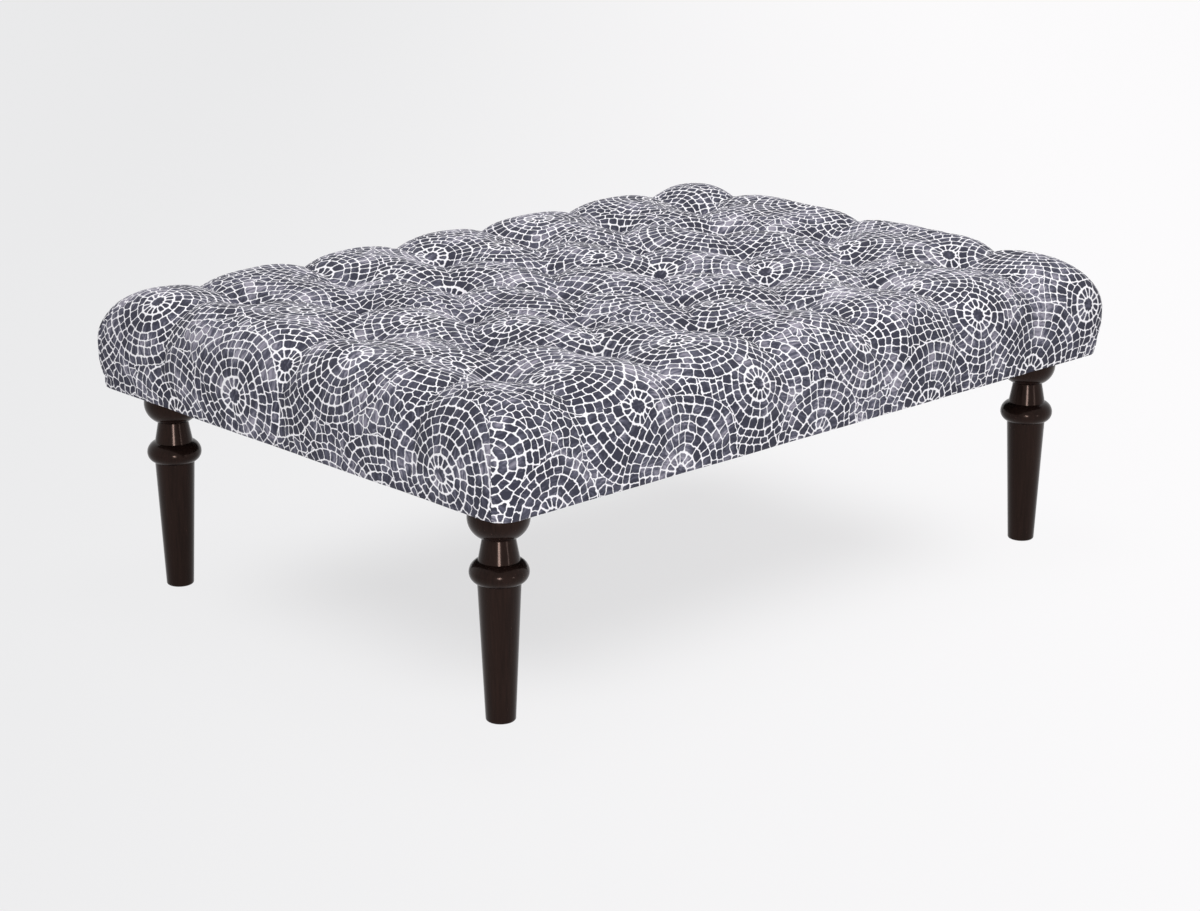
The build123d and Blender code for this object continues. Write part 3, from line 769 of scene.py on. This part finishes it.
# Printed mosaic, in millimetres of cloth: a tile's least length, what a ring adds to it and what the
# first ring adds, the size of loose tiles, the line between tiles, and the roundness of their corners
TILE = 12.1
TILE_VARIES = 3.4
FIRST_TILE_LONGER = 3.0
LOOSE_TILE = 12.5
GROUT = 1.44
GROUT_VARIES = 0.8
ROUND = 1.3
ROUND_VARIES = 2.0

# A rosette: its scalloped disc's radius, the petals' reach in disc radii, the width of its rings,
# how much disc and rings vary, the plain middle of the disc, and how far it covers past its rings
DISC = 9.7
DISC_VARIES = 1.5
PETAL_REACH = 2.4
RING_WIDTH = 11.7
RING_VARIES = 1.4
DISC_MIDDLE = 4.6
ROSETTE_MARGIN = 0.8

# Scallops and petals: how many, and for one of them the line beside it, the line past it, and the
# roundness of its corners. The petals lie a little further in
SCALLOPS = 10.0
SCALLOP = (-1.1, 1.6, 3.0)
PETALS = 14.0
PETAL = (1.8, 2.6, 2.6)
PETAL_INSET = 0.4

# The sway of a rosette's rings, its wave and where it sets in, and how far each second row of cells
# is moved, in cell lengths, and each layer of rosettes, in millimetres
SWAY = 1.5
SWAY_WAVE = 6.2
SWAY_START = (20.0, 34.0)
STAGGER = 0.47
LAYER_SHIFT = 61.7

# How far the print's lines wander, and over what run of cloth
WANDER_BROAD = (10.0, 42.0)
WANDER_FINE = (4.2, 6.5)


def rosettes(g, cloth, cell, seed, least, most):
    """Rings of tiles round scattered centres. Gives how far outside its tile a point is, the tile's
    random value, how far out on its rosette it is, and 1 where the layer covers the cloth."""
    x, y, _ = g.separate(cloth)
    cell_x, cell_y = cell
    row = g.floor(g.div(y, cell_y))
    stagger = g.mul(g.math("FLOORED_MODULO", row, 2.0), cell_x * STAGGER)
    shifted = g.add(g.add(x, stagger), seed * LAYER_SHIFT)
    column = g.floor(g.div(shifted, cell_x))
    value, (r1, r2, r3) = g.random(g.combine(column, row, seed))
    rings = g.floor(g.mad(r3, most - least + 0.99, least))
    pitch = g.mad(value, RING_VARIES, RING_WIDTH)
    core = g.mad(r1, DISC_VARIES, DISC)
    second = g.mul(core, PETAL_REACH)
    radius = g.mad(rings, pitch, second)
    room_x = g.larger(g.sub(cell_x, g.mul(radius, 2.0)), 0.0)
    room_y = g.larger(g.sub(cell_y, g.mul(radius, 2.0)), 0.0)
    centre_x = g.mad(g.sub(r1, 0.5), room_x, g.mul(g.add(column, 0.5), cell_x))
    centre_y = g.mad(g.sub(r2, 0.5), room_y, g.mul(g.add(row, 0.5), cell_y))
    qx = g.sub(shifted, centre_x)
    qy = g.sub(y, centre_y)
    true_reach = g.length(qx, qy)
    turn = g.div(g.math("ARCTAN2", qy, qx), 2 * math.pi)
    sway = g.math("SINE", g.mad(true_reach, 1 / SWAY_WAVE, g.mul(r2, 6.28)))
    sway = g.mul(sway, g.smooth(true_reach, *SWAY_START))
    reach = g.mad(sway, SWAY, true_reach)

    # Ring 0 is the scalloped disc, ring 1 the petals round it, and the rest are even rings
    outer = g.floor(g.div(g.sub(reach, second), pitch))
    past_core = g.math("GREATER_THAN", reach, core)
    past_second = g.math("GREATER_THAN", reach, second)

    def by_ring(disc, petals, rest):
        return g.mix(past_second, g.mix(past_core, disc, petals), rest)

    ring = g.mix(past_second, past_core, g.add(outer, 2.0))
    outer_middle = g.mad(g.add(outer, 0.5), pitch, second)
    middle = by_ring(g.mul(core, 0.5), g.mul(g.add(core, second), 0.5), outer_middle)
    depth = by_ring(core, g.sub(second, core), pitch)
    ring_value, (ring_scale, _, _) = g.random(g.combine(g.mad(column, 17.0, ring), row, seed + 0.5))
    tile_length = g.mad(ring_scale, TILE_VARIES, TILE)
    in_first = g.math("LESS_THAN", outer, 0.5)
    tile_length = g.add(tile_length, g.mul(in_first, FIRST_TILE_LONGER))
    count_outer = g.math("ROUND", g.div(g.mul(outer_middle, 2 * math.pi), tile_length))
    count = by_ring(SCALLOPS, PETALS, count_outer)
    turned = g.add(g.mul(turn, count), ring_value)
    spot = g.math("FLOORED_MODULO", g.floor(turned), count)
    tile_key = g.combine(g.mad(column, 57.0, spot), g.mad(row, 31.0, ring), seed)
    tile, (t1, t2, _) = g.random(tile_key)
    across = g.sub(g.math("FRACT", turned), 0.5)
    arc = g.div(g.mul(reach, 2 * math.pi), count)
    line = g.mad(t1, GROUT_VARIES, GROUT - GROUT_VARIES / 2)
    tile_form = (line, line, g.mad(t2, ROUND_VARIES, ROUND))
    line_x, line_y, rounding = map(by_ring, SCALLOP, PETAL, tile_form)
    half_x = g.mul(g.sub(arc, line_x), 0.5)
    half_y = g.mul(g.sub(depth, line_y), 0.5)
    side_x = g.mul(g.absolute(across), arc)
    inset = g.mul(g.sub(past_core, past_second), PETAL_INSET)
    side_y = g.absolute(g.sub(g.add(reach, inset), middle))
    dx = g.add(g.sub(side_x, half_x), rounding)
    dy = g.add(g.sub(side_y, half_y), rounding)
    px = g.larger(dx, 0.0)
    py = g.larger(dy, 0.0)
    outside = g.length(px, py)
    inside = g.math("MINIMUM", g.larger(dx, dy), 0.0)
    gap = g.sub(g.add(outside, inside), rounding)
    gap = g.math("MINIMUM", gap, g.sub(reach, DISC_MIDDLE))
    covers = g.math("LESS_THAN", reach, g.add(radius, ROSETTE_MARGIN))
    return gap, tile, g.div(reach, radius), covers


def mosaic_material():
    """Woven cotton, printed with rings of small slate tiles on off-white."""
    g = Graph("mosaic_cotton")
    uv = g.node("ShaderNodeUVMap", uv_map="cloth").outputs[0]
    cloth = g.stretch(uv, (1 / MM,) * 3)
    (broad, broad_run), (fine, fine_run) = WANDER_BROAD, WANDER_FINE
    wobble = g.vector("SUBTRACT", g.noise(cloth, 1 / broad_run, 1.0)[1], (0.5, 0.5, 0.5))
    tremble = g.vector("SUBTRACT", g.noise(cloth, 1 / fine_run, 2.0)[1], (0.5, 0.5, 0.5))
    bent = g.bend(wobble, (broad, broad, 0.0), cloth)
    bent = g.bend(tremble, (fine, fine, 0.0), bent)

    # Two layers of rosettes, and loose tiles where neither covers the cloth
    moved = g.vector("ADD", bent, (118.0, 105.0, 0.0))
    over = rosettes(g, bent, cell=(236.0, 214.0), seed=1.0, least=4.0, most=6.0)
    under = rosettes(g, moved, cell=(227.0, 221.0), seed=2.0, least=5.0, most=6.0)
    cell_inputs = {"Vector": bent, "Scale": 1 / LOOSE_TILE, "Randomness": 0.75}
    cells = g.node("ShaderNodeTexVoronoi", cell_inputs, voronoi_dimensions="2D")
    edge = g.node("ShaderNodeTexVoronoi", cell_inputs, voronoi_dimensions="2D")
    edge.feature = "DISTANCE_TO_EDGE"
    loose_gap = g.sub(GROUT / 2, g.mul(edge.outputs["Distance"], LOOSE_TILE))
    loose = (loose_gap, g.separate(cells.outputs["Color"])[0], 1.05)
    layers = zip(loose, under, over)
    gap, tile, out = [g.mix(over[3], g.mix(under[3], a, b), c) for a, b, c in layers]
    printed = g.smooth(gap, 0.3, -0.4)

    wash = g.noise(cloth, 1 / 46.0, 2.0)[0]
    drawn = g.stretch(cloth, (0.35, 1.0, 1.0))
    lean = g.bend(wobble, (30.0, 30.0, 0.0), drawn)
    brush = g.noise(lean, 1 / 4.5, 3.0)[0]
    patch = g.noise(cloth, 1 / 120.0, 1.0)[0]

    # A tile's tone starts low, and each of these adds its share
    tone = -2.98
    for value, share in ((wash, 2.5), (tile, 0.42), (patch, 1.5), (out, 0.12), (brush, 1.9)):
        tone = g.mad(value, share, tone)
    ramp = g.node("ShaderNodeValToRGB", {0: tone})
    stops = ramp.color_ramp.elements
    stops[0].position, stops[0].color = 0.0, linear(58, 58, 71)
    stops[1].position, stops[1].color = 1.0, linear(157, 153, 166)
    middle = stops.new(0.5)
    middle.color = linear(89, 89, 104)
    ground = linear(246, 244, 248)
    colour = g.mix_color(printed, ground, ramp.outputs[0])

    threads = {"Vector": cloth, "Scale": 0.55, "Distortion": 0.6}
    weave_x = g.node("ShaderNodeTexWave", threads)
    weave_y = g.node("ShaderNodeTexWave", threads, bands_direction="Y")
    weave = g.mul(weave_x.outputs[1], weave_y.outputs[1])
    slub = g.noise(cloth, 0.35, 2.0)[0]
    height = g.mad(slub, 0.6, weave)
    return g.finish(colour, 0.92, (height, 0.25, 0.0004), level=0.15, sheen=0.06, sheen_roughness=0.5)


def fluff_material():
    """Lofty polyester wadding."""
    g = Graph("polyester_fluff")
    where = g.where()
    tuft = g.noise(where, 240.0, 6.0)[0]
    lumps = g.noise(where, 45.0, 3.0)[0]
    shade = g.mad(tuft, 0.5, g.mul(lumps, 0.5))
    colour = g.mix_color(shade, linear(214, 213, 210), linear(250, 250, 248))
    return g.finish(colour, 0.98, (shade, 0.6, 0.003), level=0.1, sheen=0.35)


def foam_material():
    """Open-cell polyurethane foam, pale yellow, with its pores."""
    g = Graph("cut_foam")
    where = g.where()
    pores = g.node("ShaderNodeTexVoronoi", {"Vector": where, "Scale": 900.0}).outputs["Distance"]
    patches = g.noise(where, 30.0, 3.0)[0]
    shade = g.mad(patches, 0.6, g.mul(pores, 0.6))
    colour = g.mix_color(shade, linear(214, 200, 150), linear(246, 236, 196))
    return g.finish(colour, 0.95, (pores, 0.5, 0.0008), level=0.15)


def cambric_material():
    """Black spun-bonded dust cover, with its small pressed dots."""
    g = Graph("black_cambric")
    where = g.where()
    x, y, _ = g.separate(where)
    dots_x = g.absolute(g.sub(g.math("FRACT", g.mul(x, 420.0)), 0.5))
    dots_y = g.absolute(g.sub(g.math("FRACT", g.mul(y, 420.0)), 0.5))
    dot = g.smooth(g.larger(dots_x, dots_y), 0.30, 0.20)
    fibres = g.noise(where, 500.0, 5.0)[0]
    shade = g.mad(fibres, 0.8, g.mul(dot, -0.25))
    colour = g.mix_color(shade, linear(22, 22, 24), linear(58, 58, 61))
    return g.finish(colour, 0.88, (g.mad(dot, -1.0, fibres), 0.35, 0.0004), level=0.25, sheen=0.1)


def pine_material(name, stretch):
    """Planed softwood, with its grain along the axis that stretch draws out."""
    g = Graph(name)
    where = g.where()
    drawn = g.stretch(where, stretch)
    wobble = g.noise(drawn, 14.0, 2.0)[1]
    bent = g.bend(wobble, (0.02, 0.02, 0.02), drawn)
    wave = {"Vector": bent, "Scale": 34.0, "Distortion": 5.0, "Detail": 3.0}
    rings = g.node("ShaderNodeTexWave", wave, bands_direction="DIAGONAL")
    pores = g.noise(g.stretch(drawn, (6.0, 6.0, 6.0)), 130.0, 4.0)[0]
    tone = g.mad(rings.outputs[1], 0.65, g.mul(pores, 0.45))
    colour = g.mix_color(tone, linear(190, 148, 98), linear(226, 196, 148))
    return g.finish(colour, g.mad(pores, 0.2, 0.5), (pores, 0.2, 0.0005))


def plywood_material():
    """Birch plywood: grain on the faces, plies on the edges."""
    g = Graph("birch_plywood")
    where = g.where()
    drawn = g.stretch(where, (0.08, 1.0, 1.0))
    grain = g.noise(drawn, 90.0, 5.0)[0]
    _, _, z = g.separate(where)
    ply = g.math("FRACT", g.mul(z, 1 / 0.0024))
    plies = g.smooth(g.absolute(g.sub(ply, 0.5)), 0.12, 0.3)
    normal = g.node("ShaderNodeNewGeometry").outputs["Normal"]
    up = g.absolute(g.separate(normal)[2])
    edge = g.smooth(up, 0.7, 0.3)
    face = g.mix_color(grain, linear(196, 164, 118), linear(226, 198, 152))
    side = g.mix_color(plies, linear(150, 112, 72), linear(214, 184, 138))
    return g.finish(g.mix_color(edge, face, side), g.mad(grain, 0.15, 0.55), (grain, 0.15, 0.0004))


def zinc_material():
    """Bright zinc plate on steel wire, pressings and screws."""
    g = Graph("zinc_plate")
    where = g.where()
    cloud = g.noise(where, 160.0, 4.0)[0]
    scratch = g.noise(g.stretch(where, (1.0, 1.0, 0.1)), 900.0, 2.0)[0]
    colour = g.mix_color(cloud, linear(168, 169, 170), linear(206, 207, 206))
    return g.finish(colour, g.mad(scratch, 0.25, 0.2), metallic=1.0)


def nylon_material():
    """Dark moulded nylon."""
    g = Graph("dark_nylon")
    speck = g.noise(g.where(), 700.0, 3.0)[0]
    colour = g.mix_color(speck, linear(38, 35, 33), linear(62, 58, 55))
    return g.finish(colour, g.mad(speck, 0.2, 0.42))


def twine_material():
    """Waxed tufting twine, laid right."""
    g = Graph("waxed_twine")
    where = g.where()
    wave = {"Vector": where, "Scale": 180.0, "Distortion": 0.4}
    lay = g.node("ShaderNodeTexWave", wave, bands_direction="DIAGONAL")
    fuzz = g.noise(where, 900.0, 3.0)[0]
    shade = g.mad(lay.outputs[1], 0.6, g.mul(fuzz, 0.4))
    colour = g.mix_color(shade, linear(170, 158, 132), linear(226, 218, 198))
    return g.finish(colour, 0.7, (shade, 0.5, 0.0004))


def espresso_material():
    """Dark espresso stain on close-grained wood, under satin lacquer."""
    g = Graph("espresso_wood")
    where = g.where()
    long_grain = g.stretch(where, (1.0, 1.0, 0.045))
    grain = g.noise(long_grain, 420.0, 4.0)[0]
    broad = g.noise(long_grain, 60.0, 3.0)[0]
    tone = g.mad(grain, 0.7, g.mul(broad, 0.5))
    ramp = g.node("ShaderNodeValToRGB", {0: tone})
    ends = ramp.color_ramp.elements
    ends[0].position, ends[0].color = 0.35, linear(14, 9, 8)
    ends[1].position, ends[1].color = 0.85, linear(35, 23, 20)
    lacquer = linear(255, 218, 204)
    gloss = g.mad(grain, 0.04, 0.155)
    return g.finish(ramp.outputs[0], gloss, (grain, 0.03, 0.0003), level=0.17, tint=lacquer)


# Dust cover, a thin sheet stapled up under the frame. Its mesh has lines between and outside the
# legs, and its sag has a level, a broad ripple and a fine one
CAMBRIC = 0.5
CAMBRIC_TOP = 289.4
CAMBRIC_HALF = (567.0, 412.0)
CAMBRIC_SAG = 3.5
CAMBRIC_TAUT = 20.0
CAMBRIC_EASE = 60.0
CAMBRIC_LINES = (81, 7)
CAMBRIC_RIPPLE = (0.5, 0.32, 0.14)
LEG_PLACE = (513.3, 345.2)
BOLT_HOLE = 5.0
LEG_TOP = 34.0


def dust_sheet():
    """The sheet, taut at its staples and over the legs, with a slight sag and a hole for each bolt."""
    half_x, half_y = CAMBRIC_HALF
    leg_x, leg_y = LEG_PLACE

    def lines(half, leg):
        inner = np.linspace(-(leg - BOLT_HOLE), leg - BOLT_HOLE, CAMBRIC_LINES[0])
        outer = np.linspace(leg + BOLT_HOLE, half, CAMBRIC_LINES[1])
        return np.concatenate([-outer[::-1], inner, outer])

    xs, ys = lines(half_x, leg_x), lines(half_y, leg_y)
    grid_x, grid_y = np.meshgrid(xs, ys, indexing="ij")
    flat = np.stack([grid_x.ravel(), grid_y.ravel()], -1)
    edge = np.minimum(half_x - np.abs(flat[:, 0]), half_y - np.abs(flat[:, 1]))
    legs = np.hypot(np.abs(flat[:, 0]) - leg_x, np.abs(flat[:, 1]) - leg_y)
    free = np.clip((edge - CAMBRIC_TAUT) / CAMBRIC_EASE, 0, 1)
    free *= np.clip((legs - LEG_TOP) / CAMBRIC_EASE, 0, 1)
    level, broad, fine = CAMBRIC_RIPPLE
    ripple = level + broad * smooth_noise(flat, 120.0, 21)
    ripple += fine * smooth_noise(flat * (0.4, 1.0), 34.0, 22)
    sag = CAMBRIC_SAG * eased(free) * ripple
    low, high = at_height(flat, CAMBRIC_TOP - CAMBRIC - sag), at_height(flat, CAMBRIC_TOP - sag)
    ny = len(ys)
    count = len(flat)
    off_x = np.abs(np.abs(xs[1:] + xs[:-1]) / 2 - leg_x) > 1
    off_y = np.abs(np.abs(ys[1:] + ys[:-1]) / 2 - leg_y) > 1
    cells = set(map(tuple, np.argwhere(off_x[:, None] | off_y).tolist()))
    faces = []
    for i, j in sorted(cells):
        a, b = i * ny + j, (i + 1) * ny + j
        c, d = b + 1, a + 1
        faces.append((count + a, count + b, count + c, count + d))
        faces.append((d, c, b, a))
        edges = {(-1, 0): (d, a), (1, 0): (b, c), (0, -1): (a, b), (0, 1): (c, d)}
        for (di, dj), (p, q) in edges.items():
            if (i + di, j + dj) not in cells:
                faces.append((p, q, count + q, count + p))
    return mesh_object("dust_sheet", np.concatenate([low, high]), faces)


def dress(piece, node, material):
    """Puts a made piece in a CAD node's place."""
    piece.data.materials.append(material)
    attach(piece, "root")
    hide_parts(node)


dust = dust_sheet()
dress(cover, "fabric_cover", mosaic_material())
dress(wadding, "wadding", fluff_material())
dress(foam, "foam_pad", foam_material())
dress(dust, "dust_cover", cambric_material())


def assign(material, *names):
    """Gives CAD nodes a finish."""
    for name in names:
        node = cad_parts[name]
        node.data.materials.clear()
        node.data.materials.append(material)


CORNERS = ("front_left", "front_right", "rear_left", "rear_right")
assign(espresso_material(), *[f"{corner}_leg" for corner in CORNERS])
assign(pine_material("pine_along", (0.1, 1.0, 1.0)), "front_rail", "rear_rail")
across_names = ["left_rail", "right_rail", "left_cross_brace", "right_cross_brace"]
across_names += [f"{corner}_corner_block" for corner in CORNERS]
assign(pine_material("pine_across", (1.0, 0.1, 1.0)), *across_names)
assign(plywood_material(), "deck_panel")
steel_names = ["tuft_washers", "rail_screws", "corner_block_screws", "brace_screws", "deck_screws"]
steel_names += ["cover_staples", "dust_cover_staples"]
steel_names += [f"{corner}_{part}" for corner in CORNERS for part in ("leg_bolt", "t_nut")]
assign(zinc_material(), *steel_names)
assign(nylon_material(), *[f"{corner}_glide" for corner in CORNERS])
assign(twine_material(), "tuft_twines")


# Camera, matched to the photo in its 1200 x 911 frame
PHOTO_WIDTH = 1200
PHOTO_HEIGHT = 911
FOCAL_PIXELS = 2809.76
AXIS_PIXEL = (605.18, 434.26)
CAMERA_PLACE = (-2.6486, -2.8079, 1.3526)
CAMERA_AZIMUTH = 226.78
CAMERA_HEADING = math.radians(43.216)
CAMERA_PITCH = math.radians(16.745)
SENSOR = 36.0

camera = placed("camera", bpy.data.cameras.new("camera"))
camera.location = CAMERA_PLACE
camera.rotation_euler = (math.pi / 2 - CAMERA_PITCH, 0, -CAMERA_HEADING)
camera.data.sensor_width = SENSOR
camera.data.lens = FOCAL_PIXELS / PHOTO_WIDTH * SENSOR
camera.data.shift_x = (PHOTO_WIDTH / 2 - AXIS_PIXEL[0]) / PHOTO_WIDTH
camera.data.shift_y = (AXIS_PIXEL[1] - PHOTO_HEIGHT / 2) / PHOTO_WIDTH
camera.data.clip_end = 60.0
bpy.context.scene.camera = camera


# The pale floor, in metres: its colours left and right of the camera's axis, a painted light that is
# dimmer on the left and brighter on the right, how far off the axis they are reached, and how far out
# they turn into the backdrop's
PALE_LEFT = linear(235, 235, 236)
PALE_RIGHT = linear(253, 252, 253)
GRADIENT_REACH = 1.3
FLOOR_FADE = (7.0, 14.0)
BACKDROP = linear(245, 245, 246)

# The soft shadow that the camera sees under the table: its depth there and far off, how far it
# reaches past its core, and the core's half sizes
SHADOW_NEAR = 0.235
SHADOW_FAR = 0.03
SHADOW_REACH = 0.33
SHADOW_CORE = (0.28, 0.12)

# Strength of the light from all round
SKY = 0.55


def studio_world():
    """Even light from all round. The camera and glossy surfaces see the pale backdrop in its place."""
    g = Graph("studio", bpy.data.worlds)
    sky = g.nodes["Background"]
    g.feed(sky.inputs[0], (1.0, 1.0, 1.0, 1.0))
    g.feed(sky.inputs[1], SKY)
    backdrop = g.node("ShaderNodeBackground", {0: BACKDROP, 1: 1.0})
    g.blend(g.background_rays(), sky, backdrop, "World Output")
    bpy.context.scene.world = g.owner


def studio_floor():
    """A pale floor that runs out of sight. It keeps the table's shadow, softened."""
    mesh = bpy.data.meshes.new("floor")
    form = bmesh.new()
    bmesh.ops.create_grid(form, x_segments=8, y_segments=8, size=20.0)
    form.to_mesh(mesh)
    form.free()
    floor = placed("floor", mesh)
    g = Graph("studio_floor")
    x, y, _ = g.separate(g.where())
    # Painted light: the floor's colour is dimmer left of the camera's axis and brighter right of it
    lateral = g.mad(x, math.cos(CAMERA_HEADING), g.mul(y, -math.sin(CAMERA_HEADING)))
    share = g.smooth(lateral, -GRADIENT_REACH, GRADIENT_REACH)
    pale = g.mix_color(share, PALE_LEFT, PALE_RIGHT)
    pale = g.mix_color(g.smooth(g.length(x, y), *FLOOR_FADE), pale, BACKDROP)
    floor.data.materials.append(g.finish(pale, 0.9, level=0.05))
    glow = g.node("ShaderNodeEmission", {0: pale, 1: 1.0})
    past_x = g.larger(g.sub(g.absolute(x), SHADOW_CORE[0]), 0.0)
    past_y = g.larger(g.sub(g.absolute(y), SHADOW_CORE[1]), 0.0)
    past = g.smooth(g.length(past_x, past_y), 0.0, SHADOW_REACH)
    own_light = g.mix(past, 1 - SHADOW_NEAR, 1 - SHADOW_FAR)
    seen = g.mul(g.background_rays(), own_light)
    g.blend(seen, g.nodes["Principled BSDF"], glow, "Material Output")


def lamp(name, place, target, size, power):
    """A round soft lamp."""
    light = bpy.data.lights.new(name, "AREA")
    light.shape = "DISK"
    light.size = size
    light.energy = power
    holder = placed(name, light)
    holder.location = place
    holder.rotation_euler = (Vector(target) - Vector(place)).to_track_quat("-Z", "Y").to_euler()


def around(azimuth, distance, height):
    """A place that many degrees to the right of the camera, as seen from the table."""
    heading = math.radians(CAMERA_AZIMUTH + azimuth)
    return (distance * math.cos(heading), distance * math.sin(heading), height)


bpy.context.scene.view_settings.view_transform = "Standard"
studio_world()
studio_floor()
lamp("overhead", (0.2, 0.0, 3.2), (0, 0, 0.4), size=1.4, power=51.5)
lamp("front", around(1.0, 5.2, 0.52), (0, 0, 0.25), size=0.9, power=84.0)
lamp("side", around(49.0, 5.2, 0.34), (0, 0, 0.25), size=0.5, power=7.0)
